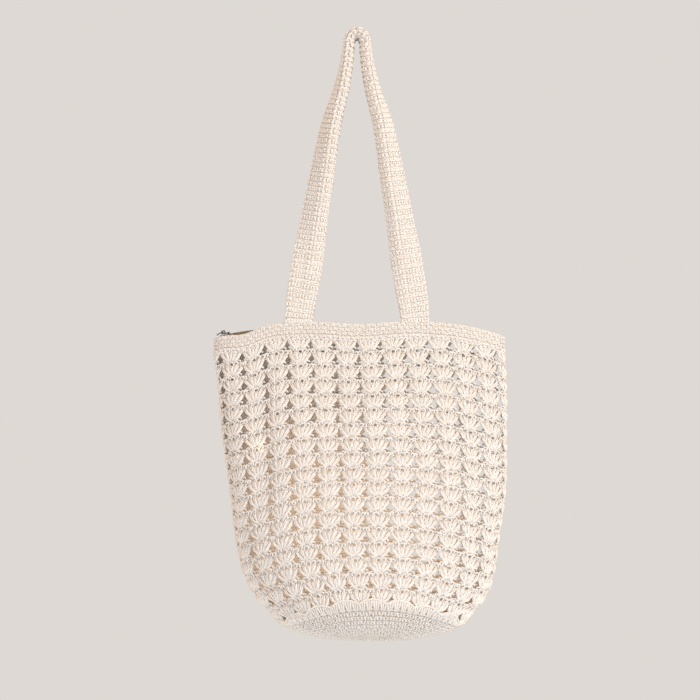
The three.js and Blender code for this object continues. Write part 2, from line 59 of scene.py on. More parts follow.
ZIP_END = 0.015  # share of the way round from a side fold to the end of the zip
FOOT_SUNK = 1.5  # how far a handle's last stitches go into the rim

# The body from rim to base, as in the part: shares of the rows, of half the mouth's width
# and of the body's depth.
SECTION_COLUMNS = ("down", "left", "right", "side", "front", "back", "blunt", "crest")
SECTIONS = dict(zip(SECTION_COLUMNS, np.array([
    (0.00, 0.987, 1.019, 0.000, 0.164, -0.131, 0.72, 3.4),
    (0.12, 0.956, 1.028, 0.030, 0.250, -0.136, 0.76, 3.2),
    (0.30, 0.926, 1.027, 0.075, 0.400, -0.139, 0.80, 2.9),
    (0.50, 0.872, 1.018, 0.150, 0.550, -0.139, 0.82, 2.7),
    (0.66, 0.834, 0.975, 0.220, 0.670, -0.139, 0.82, 2.5),
    (0.80, 0.780, 0.935, 0.285, 0.770, -0.139, 0.82, 2.3),
    (0.90, 0.689, 0.875, 0.325, 0.835, -0.131, 0.82, 2.2),
    (1.00, 0.513, 0.722, 0.365, 0.861, -0.107, 0.82, 2.1),
]).T))

# Soft upright folds: place round the bag, depth in cloth thicknesses, width, first row, last row.
FOLDS = [
    (0.085, 0.7, 0.022, 0.0, 0.75),
    (0.200, 0.6, 0.035, 0.0, 0.60),
    (0.330, 0.7, 0.030, 0.05, 0.70),
    (0.430, 0.9, 0.024, 0.0, 0.85),
    (0.640, 0.5, 0.040, 0.0, 0.60),
    (0.860, 0.5, 0.040, 0.0, 0.60),
]

# One leg of a handle: shares of its drop, its spread and its width, and how many degrees its
# two parts turn back.
LEG_COLUMNS = ("drop", "apart", "wide", "outer", "inner")
LEG = dict(zip(LEG_COLUMNS, np.array([
    (0.011, 0.158, 1.00, 88, 70),
    (0.100, 0.206, 1.00, 82, 66),
    (0.190, 0.295, 1.00, 75, 60),
    (0.295, 0.426, 1.00, 61, 54),
    (0.400, 0.513, 1.00, 49, 48),
    (0.505, 0.587, 1.00, 37, 42),
    (0.645, 0.703, 1.02, 28, 38),
    (0.786, 0.806, 1.09, 12, 22),
    (0.900, 0.905, 1.05, 4, 9),
    (1.000, 1.000, 0.94, 0, 0),
]).T))

# Counts and sizes of the stitches
YARN = 1.1  # radius of the yarn
SHELLS = 26  # columns of shells round the body
SHELL_ROWS = 18
SHELL_PHASE = 0.41  # first column of holes, in shells from the left fold
SHELL_RISE = 0.38  # how far the first row is drawn up over the rim's foot, in rows
SHELL_PITCH, SHELL_HEIGHT = 25.0, 15.7  # one shell on the front of the bag
POSTS = 5  # tall stitches in a shell
RIM_STITCHES, RIM_ROWS, RIM_PLAIN = 104, 4, 0.86  # and the share of the rim under plain rows
HANDLE_STITCHES, HANDLE_ROWS = 5, 122
BASE_ROUNDS, BASE_STITCHES = 17, 80  # and the stitches in the outermost plain round
BASE_PLAIN = (0.065, 0.98)  # first and last share of the way to the base's middle
SCALLOPS, SKIRT_STITCHES = 18, 72
SCALLOP_LOW, SCALLOP_HIGH, SKIRT_FOOT = 0.5, 6.0, 7.0  # above and below the base's joint
COIL_PITCH, COIL_WIRE, COIL_CORD = 1.6, 0.36, 0.75

# A shell's fan of stitches. Places across are shares of a shell, from its middle.
FAN_FOOT, FAN_SIDE, LOOP_SIDE, ARCH_SIDE = 0.035, 0.41, 0.44, 0.43
FAN_BOW, LOW_BOW = 1.45, 0.3  # how the outer stitches bow out, and how much more low down
LOW_ROWS = (0.78, 0.9)  # where the rows turn low, as shares of all rows
POST_FOOT, POST_SHORT = 1.6, 3.6  # above the shell's foot, and shorter than its loop's height
SIDE_SUNK = 0.9  # how much lower the outer stitches start
POST_STRANDS = ((6, 1.0), (6, 1.0), (4, 0.95))  # steps and share of the yarn's thickness
POST_TWIST = 1.1  # half turns from foot to top
LOOP_STEPS, LOOP_START, LOOP_LEAN = 7, -1.9, 0.6  # the last two in radians
LOOP_WIDE, LOOP_HIGH = 2.3, 1.9  # half sizes
SIDE_LOOP, EYE_LOOP = 0.9, 1.25  # shares of them beside the middle and at the middle stitch
ARCH_WIDE, ARCH_HIGH = 2.4, 2.2  # half its width, and its height
FILLS, FILL_HEIGHT = (-0.72, -0.25, 0.25, 0.72), 0.76  # height as a share of the shell's
STRAND_BEHIND = 1.3  # radius of the strands that lie behind the shells

RIM_FOOT = HANDLE_DROP + RIM_HEIGHT
HALF_MOUTH = MOUTH_WIDTH / 2
MOUTH_CENTRE = (SECTIONS["right"][0] - SECTIONS["left"][0]) / 2 * HALF_MOUTH
MOUTH_REACH = (SECTIONS["right"][0] + SECTIONS["left"][0]) / 2 * HALF_MOUTH


# Surfaces that the yarn follows


def along(table, key, column, at):
    """A smooth curve through one column of a table."""
    keys, values = table[key], table[column]
    at = np.asarray(at, float)
    i = np.clip(np.searchsorted(keys, at) - 1, 0, len(keys) - 2)
    before, after = np.maximum(np.arange(len(keys)) - 1, 0), np.arange(len(keys)) + 1
    after = np.minimum(after, len(keys) - 1)
    slopes = (values[after] - values[before]) / (keys[after] - keys[before])
    step = keys[i + 1] - keys[i]
    t = np.clip((at - keys[i]) / step, 0, 1)
    rise = values[i + 1] - values[i]
    lead, trail = slopes[i] * step - rise, slopes[i + 1] * step - rise
    return values[i] + t * rise + t * (1 - t) * ((1 - t) * lead - t * trail)


def bump(distance, width):
    return np.exp(-((distance / width) ** 2))


def smoothstep(x, low, high):
    t = np.clip((x - low) / (high - low), 0, 1)
    return t * t * (3 - 2 * t)


def unit(v):
    return v / np.maximum(np.linalg.norm(v, axis=-1, keepdims=True), 1e-12)


def stack(x, y, z):
    return np.stack(np.broadcast_arrays(x, y, z), axis=-1).astype(float)


def rim_line(across):
    dip = MIDDLE_DIP * bump(across, DIP_REACH * HANDLE_SPREAD / MOUTH_WIDTH)
    return RIM_TILT * across - dip - LEFT_SLUMP * bump(across - SLUMP_PLACE, SLUMP_REACH)


def rim_top(x):
    across = np.clip((x - MOUTH_CENTRE) / MOUTH_REACH, -1, 1)
    return -HANDLE_DROP - CORNER_DROOP * np.abs(across) ** SECTIONS["crest"][0] + rim_line(across)


def rim_out(x, side):
    across = (x - MOUTH_CENTRE) / MOUTH_REACH
    share = SECTIONS["front"][0] if side < 0 else SECTIONS["back"][0]
    return -share * BODY_DEPTH * (1 - across**2) ** (SECTIONS["blunt"][0] / 2)


def body_point(turn, down):
    """A point of the body's middle surface; turn runs from pi at the left fold, by the front."""
    get = {c: along(SECTIONS, "down", c, down) for c in SECTION_COLUMNS[1:]}
    across, front = np.cos(turn), np.sin(turn) >= 0
    lift = np.abs(np.sin(turn)) ** get["blunt"]
    middle = (get["right"] - get["left"]) / 2 * HALF_MOUTH
    reach = (get["right"] + get["left"]) / 2 * HALF_MOUTH
    out = get["side"] + (np.where(front, get["front"], get["back"]) - get["side"]) * lift
    level = 1 - np.abs(across) ** get["crest"]
    side_drop = CORNER_DROOP + (SIDE_DROP - CORNER_DROOP) * down
    mid_drop = np.where(front, FRONT_DROP, BACK_DROP) * down
    drop = side_drop + (mid_drop - side_drop) * level - rim_line(across) * (1 - down) ** 3
    return stack(middle + reach * across, -out * BODY_DEPTH, -RIM_FOOT - drop)


def even_turns(down, places):
    """Angles at shares of the way round, by equal lengths on the front and on the back."""
    fine = np.linspace(0, math.pi, 1500)
    found = np.empty_like(places)
    for start, mask in ((math.pi, places < 0.5), (0.0, places >= 0.5)):
        points = body_point(start - fine, down)
        lengths = np.r_[0, np.cumsum(np.linalg.norm(np.diff(points, axis=0), axis=1))]
        share = (places[mask] * 2) % 1 if start else places[mask] * 2 - 1
        found[mask] = start - np.interp(share * lengths[-1], lengths, fine)
    return found


LAP = 0.035  # how far past its top edge a cloth may be followed, as a share of its height


class Cloth:
    """A patch of cloth as a fine grid of points, looked up by two shares from 0 to 1.

    The first share goes down or along the patch, the second goes across or round it. The
    first may start LAP before 0, where the patch goes straight on past its top edge."""

    def __init__(self, points, outward=1):
        self.points = points
        down = np.gradient(points, axis=0)
        across = np.gradient(points, axis=1)
        self.normals = outward * unit(np.cross(down, across))

    def closed(self):
        """Takes the slopes at the seam of a ring from both of its sides."""
        for end in (0, -1):
            self.normals[:, end] = self.normals[:, 1] + self.normals[:, -2]
        self.normals = unit(self.normals)
        return self

    def _look(self, grid, down, across):
        rows, columns = grid.shape[0] - 1, grid.shape[1] - 1
        r, c = np.clip(down, -LAP, 1) * rows, np.clip(across, 0, 1) * columns
        i, j = np.clip(r.astype(int), 0, rows - 1), np.minimum(c.astype(int), columns - 1)
        r, c = (r - i)[..., None], (c - j)[..., None]
        low = grid[i, j] * (1 - c) + grid[i, j + 1] * c
        high = grid[i + 1, j] * (1 - c) + grid[i + 1, j + 1] * c
        return low * (1 - r) + high * r

    def at(self, down, across, out=0.0):
        """Points that stand out from the cloth by a distance, with the normals there."""
        down, across, out = np.broadcast_arrays(down, across, out)
        normal = unit(self._look(self.normals, down, across))
        return self._look(self.points, down, across) + normal * out[..., None], normal


def fold_depth(around, down):
    depth = np.zeros(np.broadcast(around, down).shape)
    for place, deep, width, first, last in FOLDS:
        middle, half = (first + last) / 2, (last - first) / 2
        fade = np.maximum(0, 1 - ((down - middle) / half) ** 2)
        depth += deep * CLOTH * bump(around - place, width) * fade
    return depth


BODY_ROWS, BODY_COLUMNS = 145, 521  # points of the grid
FRONT_MIDDLE = BODY_COLUMNS // 4
AROUND = np.linspace(0, 1, BODY_COLUMNS)


def make_body():
    downs = np.linspace(0, 1, BODY_ROWS)
    grid = np.array([body_point(even_turns(d, AROUND), d) for d in downs])
    plain = Cloth(grid).closed()
    depth = fold_depth(AROUND[None, :], downs[:, None])
    return Cloth(grid - plain.normals * depth[..., None]).closed()


BODY = make_body()


RIM_POINTS, BASE_POINTS = 9, 90  # from the rim's top to its foot, and from edge to middle


def make_rim():
    """The rim from its foot at share 1 to its top at share 0."""
    foot = BODY.points[0]
    up = np.linspace(1, 0, RIM_POINTS)[:, None, None]  # from the top down, as the body's rows
    return Cloth(foot + up * np.array([0, 0, RIM_HEIGHT])).closed()


def make_base():
    """The base from its edge at share 0 to its middle at share 1."""
    edge = BODY.points[-1]
    front, back = body_point(np.array([math.pi / 2, -math.pi / 2]), 1.0)
    middle, low = (front + back) / 2, front[2] - BASE_SAG
    out = np.linspace(1, 0.002, BASE_POINTS)[:, None]  # ends just short of the middle
    grid = middle + (edge[None] - middle) * out[..., None]
    grid[..., 2] = low + (edge[None, :, 2] - low) * out**BASE_ROUNDNESS
    return Cloth(grid).closed()


RIM, BASE = make_rim(), make_base()

# A band of cloth across the joint of body and base, with rows about 2 mm apart
SKIRT_ABOVE = 6  # rows above the joint
SKIRT_GRID = np.concatenate([BODY.points[-1 - SKIRT_ABOVE:-1], BASE.points[:21:2]])
SKIRT = Cloth(SKIRT_GRID).closed()
SKIRT_STEPS = np.linalg.norm(np.diff(SKIRT_GRID[:, FRONT_MIDDLE], axis=0), axis=1)
SKIRT_HEIGHT = float(SKIRT_STEPS.sum())
SKIRT_JOINT = SKIRT_ABOVE / (len(SKIRT_GRID) - 1)


HANDLE_POINTS, POINT_AT_FOLD = 49, 33  # across a handle, and the one beside its fold
RIM_NEAR = 0.93  # share of the drop where a handle starts to follow the rim's top


def handle_profile(wide, outer, inner):
    """The handle's own section: out from its loop and towards the viewer."""
    places = np.linspace(FOLD_SHARE - 1, FOLD_SHARE, HANDLE_POINTS) * HANDLE_WIDTH * wide
    fine = np.linspace(0, 1, 25)
    middle = (fine[1:] + fine[:-1]) / 2
    s = places[:, None] * middle[None, :]
    heading = np.radians(outer + (-inner - outer) * smoothstep(s, -FOLD_ROUND, FOLD_ROUND))
    step = places / len(middle)
    return -np.cos(heading).sum(1) * step, np.sin(heading).sum(1) * step


def make_handle(side):
    """side is -1 for the front handle. Share 0 is its left foot and share 1 its right foot."""
    viewer = np.array([0, side, 0])

    def fold_line(drop, leg):
        x = leg * along(LEG, "drop", "apart", drop) * HANDLE_SPREAD / 2
        top, foot = side * HANDLES_APART / 2, rim_out(leg * HANDLE_SPREAD / 2, side)
        return np.array([x, top + (foot - top) * smoothstep(drop, 0.1, 1), -drop * HANDLE_DROP])

    def row(centre, outwards, section, near_rim=0.0):
        out, front = handle_profile(*section)
        points = centre + out[:, None] * outwards + front[:, None] * viewer
        points[:, 2] += near_rim * (rim_top(points[:, 0]) - FOOT_SUNK - points[:, 2])
        return points

    first = LEG["drop"][0]

    def leg_row(drop, leg):
        rise = fold_line(max(drop - 0.01, first), leg) - fold_line(min(drop + 0.01, 1), leg)
        outwards = unit(np.array([leg * rise[2], 0, -leg * rise[0]]))
        section = [float(along(LEG, "drop", c, drop)) for c in LEG_COLUMNS[2:]]
        return row(fold_line(drop, leg), outwards, section, smoothstep(drop, RIM_NEAR, 1) ** 2)

    def top_row(share):
        angle = math.pi * (1 - share)
        outwards = np.array([math.cos(angle), 0, math.sin(angle)])
        spring = fold_line(first, 1)
        centre = np.array([0, spring[1], spring[2]]) + outwards * (spring[0], 0, TOP_RADIUS)
        return row(centre, outwards, [LEG[c][0] for c in LEG_COLUMNS[2:]])

    drops = np.linspace(first, 1, 130)
    rows = [leg_row(d, -1) for d in drops[::-1]]
    rows += [top_row(s) for s in np.linspace(0, 1, 15)[1:-1]]
    rows += [leg_row(d, 1) for d in drops]
    rows = np.array(rows)
    steps = np.linalg.norm(np.diff(rows[:, POINT_AT_FOLD], axis=0), axis=1)
    lengths = np.r_[0, np.cumsum(steps)]
    even = np.linspace(0, lengths[-1], 321)
    i = np.clip(np.searchsorted(lengths, even) - 1, 0, len(lengths) - 2)
    t = ((even - lengths[i]) / (lengths[i + 1] - lengths[i]))[:, None, None]
    rows = rows[i] * (1 - t) + rows[i + 1] * t
    return Cloth(rows, side)


# Meshes of yarn


def tubes(paths, normals, radii, sides=5, closed=False):
    """Round strands along many paths of one length. Returns points, quads, ends and uv.

    paths and normals are (strands, steps, 3), radii broadcasts to (strands, steps)."""
    count, steps = paths.shape[:2]
    if closed:
        tangent = np.roll(paths, -1, 1) - np.roll(paths, 1, 1)
    else:
        tangent = np.gradient(paths, axis=1)
    tangent = unit(tangent)
    aside = unit(np.cross(tangent, normals))
    front = np.cross(aside, tangent)
    radii = np.broadcast_to(radii, (count, steps))
    turn = np.arange(sides) * 2 * math.pi / sides
    ring = aside[:, :, None] * np.cos(turn)[:, None] + front[:, :, None] * np.sin(turn)[:, None]
    points = paths[:, :, None] + ring * radii[:, :, None, None]
    number = np.arange(count * steps * sides).reshape(count, steps, sides)
    rows = np.r_[np.arange(steps), 0] if closed else np.arange(steps)
    a, b = number[:, rows[:-1]], number[:, rows[1:]]
    quads = np.stack([a, np.roll(a, -1, 2), np.roll(b, -1, 2), b], -1).reshape(-1, 4)
    length = np.linalg.norm(np.diff(paths, axis=1, append=paths[:, :1]), axis=2)
    length = np.concatenate([np.zeros((count, 1)), np.cumsum(length, 1)], 1)
    u0, u1 = length[:, :-1], length[:, 1:]
    if not closed:
        u0, u1 = u0[:, :-1], u1[:, :-1]
    v = np.arange(sides + 1) / sides
    u0, u1, v0 = np.broadcast_arrays(u0[..., None], u1[..., None], v[:-1])
    v1 = np.broadcast_to(v[1:], v0.shape)
    uv = np.stack([np.stack([u0, v0], -1), np.stack([u0, v1], -1), np.stack([u1, v1], -1),
                   np.stack([u1, v0], -1)], -2).reshape(-1, 2)
    ends = [] if closed else [number[:, 0, ::-1], number[:, -1]]
    tone = np.repeat(rng.random(count), steps * sides)
    return points.reshape(-1, 3), quads, ends, uv, tone


def yarn_object(name, batches, material, sides=5):
    """One mesh of many strands. A batch is (paths, normals, radii) or (..., True) if closed."""
    points, faces, sizes, uvs, tones, start = [], [], [], [], [], 0
    for paths, normals, radii, *closed in batches:
        p, quads, ends, uv, tone = tubes(paths, normals, radii, sides, any(closed))
        points.append(p)
        faces.append((quads + start).ravel())
        sizes.append(np.full(len(quads), 4))
        uvs.append(uv)
        for end in ends:
            faces.append((end + start).ravel())
            sizes.append(np.full(len(end), sides))
            uvs.append(np.zeros((end.size, 2)))
        tones.append(tone)
        start += len(p)
    faces, sizes = np.concatenate(faces), np.concatenate(sizes)
    mesh = bpy.data.meshes.new(name)
    mesh.vertices.add(start)
    mesh.vertices.foreach_set("co", (np.concatenate(points) * MM).ravel().astype(np.float32))
    mesh.loops.add(len(faces))
    mesh.loops.foreach_set("vertex_index", faces.astype(np.int32))
    mesh.polygons.add(len(sizes))
    starts = np.r_[0, np.cumsum(sizes)[:-1]].astype(np.int32)
    mesh.polygons.foreach_set("loop_start", starts)
    mesh.polygons.foreach_set("use_smooth", np.ones(len(sizes), bool))
    layer = mesh.uv_layers.new(name="yarn")
    layer.uv.foreach_set("vector", np.concatenate(uvs).ravel().astype(np.float32))
    tone = mesh.attributes.new("tone", "FLOAT", "POINT")
    tone.data.foreach_set("value", np.concatenate(tones).astype(np.float32))
    mesh.update()
    mesh.validate()
    mesh.materials.append(material)
    made = bpy.data.objects.new(name, mesh)
    bpy.context.scene.collection.objects.link(made)
    triangles = int((sizes - 2).sum())
    print(name, triangles, "triangles")
    return made


def tapered(steps, radius, ends=0.55):
    """Radii of a strand that narrows where it goes into the cloth."""
    t = np.linspace(-1, 1, steps)
    return radius * (1 - (1 - ends) * t**6)


def jitter(shape, size):
    return rng.normal(0, size, shape)


def on_cloth(cloth, down, across, out):
    return cloth.at(down, across % 1.0 if cloth in (BODY, RIM, BASE) else across, out)


# Stitches


def drawn_up(row):
    """How far a row of shells is drawn up towards the rim, in rows."""
    return SHELL_RISE * (1 - row / SHELL_ROWS)


def small_loops(shape, last, wide, high, uneven):
    """Small open loops: how far they go across and up from their middles, and out."""
    turn = np.linspace(LOOP_START, last, LOOP_STEPS)[None, :] + jitter(shape, uneven)
    tilt = jitter(shape, uneven)
    x, y = wide * np.cos(turn), high * np.sin(turn)
    across = x * np.cos(tilt) - y * np.sin(tilt)
    up = x * np.sin(tilt) + y * np.cos(tilt)
    return across, up, 0.5 * np.sin(turn + LOOP_LEAN)


class Fans:
    """The shells in some rows and columns of the body, each a fan of stitches from one foot.

    A stitch's k is -1 at the left side of its fan and 1 at the right. Places u and v are
    millimetres across and up from the foot, and w is how far out from the cloth."""

    def __init__(self, rows, columns):
        grid = np.meshgrid(rows, columns, indexing="ij")
        self.row, self.column = (a.ravel()[:, None] for a in grid)
        self.lean = self.uneven(0.03)
        self.bow = FAN_BOW + LOW_BOW * smoothstep(self.row / SHELL_ROWS, *LOW_ROWS)

    def uneven(self, size):
        return jitter(self.row.shape, size)

    def place(self, u, v, w):
        shell = self.column + SHELL_PHASE + 0.5 + (u + self.lean * v) / SHELL_PITCH
        down = (self.row + 1 - v / SHELL_HEIGHT - drawn_up(self.row)) / SHELL_ROWS
        return on_cloth(BODY, down, shell / SHELLS, w)

    def middle(self, k, tall, t):
        """The middle of a stitch, from its foot up. The outer ones bow out from the foot."""
        bowed = self.bow * t - (self.bow - 1) * t * t
        u = SHELL_PITCH * k * (FAN_FOOT + FAN_SIDE * bowed)
        return u, POST_FOOT - SIDE_SUNK * abs(k) + tall * t ** (1 + 0.35 * k * k)

    def post(self, k, tall):
        """A tall stitch: three strands wound round each other."""
        phase = self.uneven(0.5)
        batches = []
        for strand, (steps, thick) in enumerate(POST_STRANDS):
            t = np.linspace(0, 1, steps)[None, :]
            u, v = self.middle(k, tall, t)
            slope_u, slope_v = np.gradient(u, axis=1), np.gradient(v, axis=1)
            run = np.hypot(slope_u, slope_v)
            angle = math.pi * (POST_TWIST * t + 2 * strand / len(POST_STRANDS)) + phase
            spread = 0.75 + 0.4 * t
            aside, w = spread * np.cos(angle), 0.8 * spread * np.sin(angle)
            w = w + 1.1 * np.sin(math.pi * t) + 0.7 * t - 0.3
            places = self.place(u - slope_v / run * aside, v + slope_u / run * aside, w)
            widening = tapered(steps, 1.0, 0.8) * np.linspace(0.95, 1.1, steps)
            batches.append((*places, YARN * thick * widening))
        return batches

    def loop(self, k, top, share):
        """A small loop at a stitch's top."""
        wide, high = LOOP_WIDE * share, LOOP_HIGH * share
        across, up, out = small_loops(self.row.shape, 3.9, wide, high, 0.6)
        places = self.place(SHELL_PITCH * k * LOOP_SIDE + across, top + up, 0.8 + out)
        return (*places, tapered(LOOP_STEPS, YARN))

    def arch(self, k, base):
        """An arch from a stitch's loop to the next one."""
        turn = np.linspace(math.pi, 0, 5)[None, :] + self.uneven(0.25)
        u = SHELL_PITCH * (k + 1 / (POSTS - 1)) * ARCH_SIDE + ARCH_WIDE * np.cos(turn)
        v = base + ARCH_HIGH * np.sin(turn) + self.uneven(0.4)
        return (*self.place(u, v, 0.2 + 0.7 * np.cos(turn)), tapered(5, YARN))

    def fill(self, k):
        """A thicker strand behind the stitches, between two of them."""
        t = np.linspace(0.15, 1, 4)[None, :]
        places = self.place(*self.middle(k, FILL_HEIGHT * SHELL_HEIGHT, t), -0.1)
        return (*places, STRAND_BEHIND * tapered(4, 1.0, 0.8))


def shells(rows, columns):
    """Strands of the shells in some rows and columns of the body, as batches."""
    fans = Fans(rows, columns)
    batches = []
    for k in np.linspace(-1, 1, POSTS):
        share = 0.85 + 0.4 * abs(k) - 0.41 * k * k  # highest halfway from middle to side
        top = share * SHELL_HEIGHT + fans.uneven(0.45)
        swing = k + fans.uneven(0.03)
        batches += fans.post(swing, top - POST_SHORT + SIDE_SUNK * abs(k))
        batches.append(fans.loop(swing, top, EYE_LOOP if k == 0 else SIDE_LOOP))
        lift = 1.1 + 1.2 * bump(abs(k + 0.25) - 0.75, 0.2) - 1.6 * (k == 1)
        batches.append(fans.arch(swing, top + lift))
    return batches + [fans.fill(k) for k in FILLS]


def row_cores(rows, columns):
    """Two strands along each row of shells, under the loops."""
    steps = 6 * len(columns) + 1
    shell = np.linspace(columns[0], columns[-1] + 1, steps)[None, :]
    beside = np.abs((shell % 1) * 2 - 1)  # 0 at a shell's middle, 1 between two shells
    row = rows[:, None]
    batches = []
    for height, bow in ((0.70, 0.10), (1.01, -0.06)):
        down = (row + 1 - height - bow * beside - drawn_up(row)) / SHELL_ROWS
        across = (shell + SHELL_PHASE) / SHELLS + 0 * down
        batches.append((*on_cloth(BODY, down, across, -0.8), STRAND_BEHIND))
    return batches


def rim_foot():
    """Loops of the first round of shells, over the rim's lower edge."""
    count = SHELLS * POSTS
    batches = []
    for share, shift in ((0.80, 0.0), (0.98, 0.5)):
        middle = ((np.arange(count) + shift) / count)[:, None]
        across, up, out = small_loops(middle.shape, 3.7, 2.2, 1.9, 0.7)
        across, down = middle + across / (SHELLS * SHELL_PITCH), share - up / RIM_HEIGHT
        batches.append((*on_cloth(RIM, down, across, 1.3 + out), tapered(LOOP_STEPS, YARN)))
    return batches


def leg_pair(cloth, middle, span, thick, face, sunk):
    """The two legs of each close stitch in a row. They splay upwards."""
    count, t = len(middle), np.linspace(0, 1, 4)[None, :]
    rise = span[1] - span[0]
    batches = []
    for leg in (-1, 1):
        across = middle + leg * (0.08 + 0.30 * t**0.8) / count
        across = across + jitter(middle.shape, 0.03 / count)
        down = span[1] - rise * (1.04 * t - 0.02) + jitter(middle.shape, 0.04) * rise
        w = face * (0.5 + 1.2 * np.sin(math.pi * t) - sunk)
        batches.append((*on_cloth(cloth, down, across, w), tapered(4, thick, 0.75)))
    return batches


def rib(cloth, middle, span, thick, face):
    """A level strand over each close stitch in a row."""
    t = np.linspace(-1, 1, 5)[None, :]
    rise = span[1] - span[0]
    down = span[0] + rise * (0.5 + 0.18 * np.cos(math.pi * t))
    down = down + jitter(middle.shape, 0.03) * rise
    w = face * (1.0 + 0.6 * np.cos(math.pi / 2 * t))
    across = middle + 0.52 * t / len(middle)
    return (*on_cloth(cloth, down, across, w), tapered(5, thick))


def close_stitches(cloth, rows, per_row, thick, ring, faces=(1, -1), ribs=0, core=1.75):
    """Rows of close stitches over core strands.

    rows are (top, bottom) shares of the cloth and per_row is the number of stitches in each.
    With ribs, every so many rows a level strand lies over the stitches."""
    batches = []
    for index, (span, count) in enumerate(zip(rows, per_row)):
        shift = 0.5 * (index % 2) if ring else 0.0
        middle = ((np.arange(count) + 0.5 + shift) / count)[:, None]
        ribbed = ribs > 0 and index % ribs == 0
        for face in faces:
            batches += leg_pair(cloth, middle, span, thick, face, 0.4 * ribbed)
            if ribbed:
                batches.append(rib(cloth, middle, span, thick, face))
        steps = max(count, 6)
        across = np.arange(steps) / steps if ring else np.linspace(0.03, 0.97, steps + 1)
        wave = np.cos(math.pi * np.arange(len(across)))
        for part, lift in ((0.25, 0.35), (0.75, -0.35)):
            down = np.full((1, len(across)), span[0] + (span[1] - span[0]) * part)
            places = on_cloth(cloth, down, across[None, :], lift * wave[None, :])
            batches.append((*places, core, ring))
    return batches


def scallop_edge(across):
    """Share of the skirt's height at the edge of the scallops."""
    arch = np.abs(np.sin(math.pi * SCALLOPS * across)) ** 0.7
    return SKIRT_JOINT - (SCALLOP_LOW + (SCALLOP_HIGH - SCALLOP_LOW) * arch) / SKIRT_HEIGHT


def scallops():
    """The base's outermost round: stitches of changing height that lap over the lace in
    scallops, under a chain of slanting loops."""
    middle = ((np.arange(SKIRT_STITCHES) + 0.5) / SKIRT_STITCHES)[:, None]
    foot = SKIRT_JOINT + SKIRT_FOOT / SKIRT_HEIGHT
    t = np.linspace(0, 1, 6)[None, :]
    batches = []
    for leg in (-1, 0, 1):
        side = middle + leg * (0.12 + 0.3 * t**0.7) / SKIRT_STITCHES
        down = foot + (scallop_edge(side) - foot) * t
        out = 1.4 + 0.7 * np.sin(math.pi * t) - 0.2 * (leg == 0)
        batches.append((*SKIRT.at(down, side % 1, out), tapered(6, 1.2, 0.8)))
    slant = np.linspace(-0.75, 0.75, 6)[None, :]
    side = middle + slant / SKIRT_STITCHES
    above = 0.9 * np.cos(slant * math.pi * 0.66) - 0.7 * slant
    down = scallop_edge(side) + above / SKIRT_HEIGHT
    chain = SKIRT.at(down, side % 1, 2.2 + 0.5 * np.cos(slant * 2))
    batches.append((*chain, tapered(6, 1.15)))
    steps = 4 * SKIRT_STITCHES
    ring = (np.arange(steps) / steps)[None, :]
    for share in (0.15, 0.45, 0.75):
        down = foot + (scallop_edge(ring) - foot) * share
        batches.append((*SKIRT.at(down, ring, 0.4), 1.7, True))
    return batches


# The zip


def zip_place(places, side):
    """Middle of a coil; places run from -1 at the zip's left end to 1, side is -1 in front."""
    x = MOUTH_CENTRE + places * ZIP_REACH
    middle = (rim_out(x, -1) + rim_out(x, 1)) / 2
    apart = ZIP_CLOSED + (ZIP_OPEN - ZIP_CLOSED) * (1 - places**2)
    top = -HANDLE_DROP - ZIP_INSET - ZIP_DROOP * np.abs(places) ** 3
    return stack(x, middle + side * apart / 2, top - COIL_HEIGHT / 2)


ZIP_REACH = MOUTH_CENTRE - RIM.at(1.0, ZIP_END)[0][0]


def zip_coil(side):
    """A wire wound into a flattened coil round a cord."""
    turns = round(2 * ZIP_REACH / COIL_PITCH)
    angle = np.linspace(0, 2 * math.pi * turns, 8 * turns + 1)
    centre = zip_place(np.linspace(-1, 1, len(angle)), side)
    out = stack(0 * angle, np.cos(angle), np.sin(angle))
    wide, high = COIL_WIDTH / 2 - COIL_WIRE, COIL_HEIGHT / 2 - COIL_WIRE
    wire = centre + out * (0, wide, high)
    cord = zip_place(np.linspace(-1, 1, 120), side)
    up = np.broadcast_to((0.0, 0.0, 1.0), cord.shape)
    return [(wire[None], out[None], COIL_WIRE), (cord[None], up[None], COIL_CORD)]


COIL_GAP, RIM_GAP = 0.1, 1.1  # from the tape to its coil and to the rim's inside
BEND_START, BEND_END = 0.75, 0.15  # of the level part and of the part that hangs down
RIPPLE, RIPPLES = 0.25, 75  # how deep, and in radians over half the zip


def zip_tape(side):
    """The tape from its coil to the rim, and down along the inside of the rim."""
    places = np.linspace(-1, 1, 101)
    shares = ZIP_END + (0.5 - 2 * ZIP_END) * (places + 1) / 2
    rim, normal = RIM.at(0.0 * shares, shares if side < 0 else 1 - shares)
    edge = zip_place(places, side) + (0, side * (COIL_WIDTH / 2 + COIL_GAP), 0)
    turn = rim - normal * (CLOTH / 2 + RIM_GAP)
    turn[:, 2] = np.minimum(edge[:, 2], rim_top(turn[:, 0]) - TAPE_INSET)
    hem = turn - (0, 0, TAPE_SEWN)
    t = np.linspace(0, 1, 6)[:, None, None]
    level = edge + (turn - edge) * BEND_START * t
    corner_in, corner_out = level[-1], turn + (hem - turn) * BEND_END
    bend = (1 - t) ** 2 * corner_in + 2 * t * (1 - t) * turn + t**2 * corner_out
    fall = corner_out + (hem - corner_out) * t
    grid = np.concatenate([level[:-1], bend[:-1], fall])
    down = np.linspace(0, 1, len(grid))[:, None]
    ripple = RIPPLE * np.sin(places * RIPPLES)[None, :] * (1 - down)
    tape = Cloth(grid, side)
    return Cloth(grid + tape.normals * ripple[..., None], side)


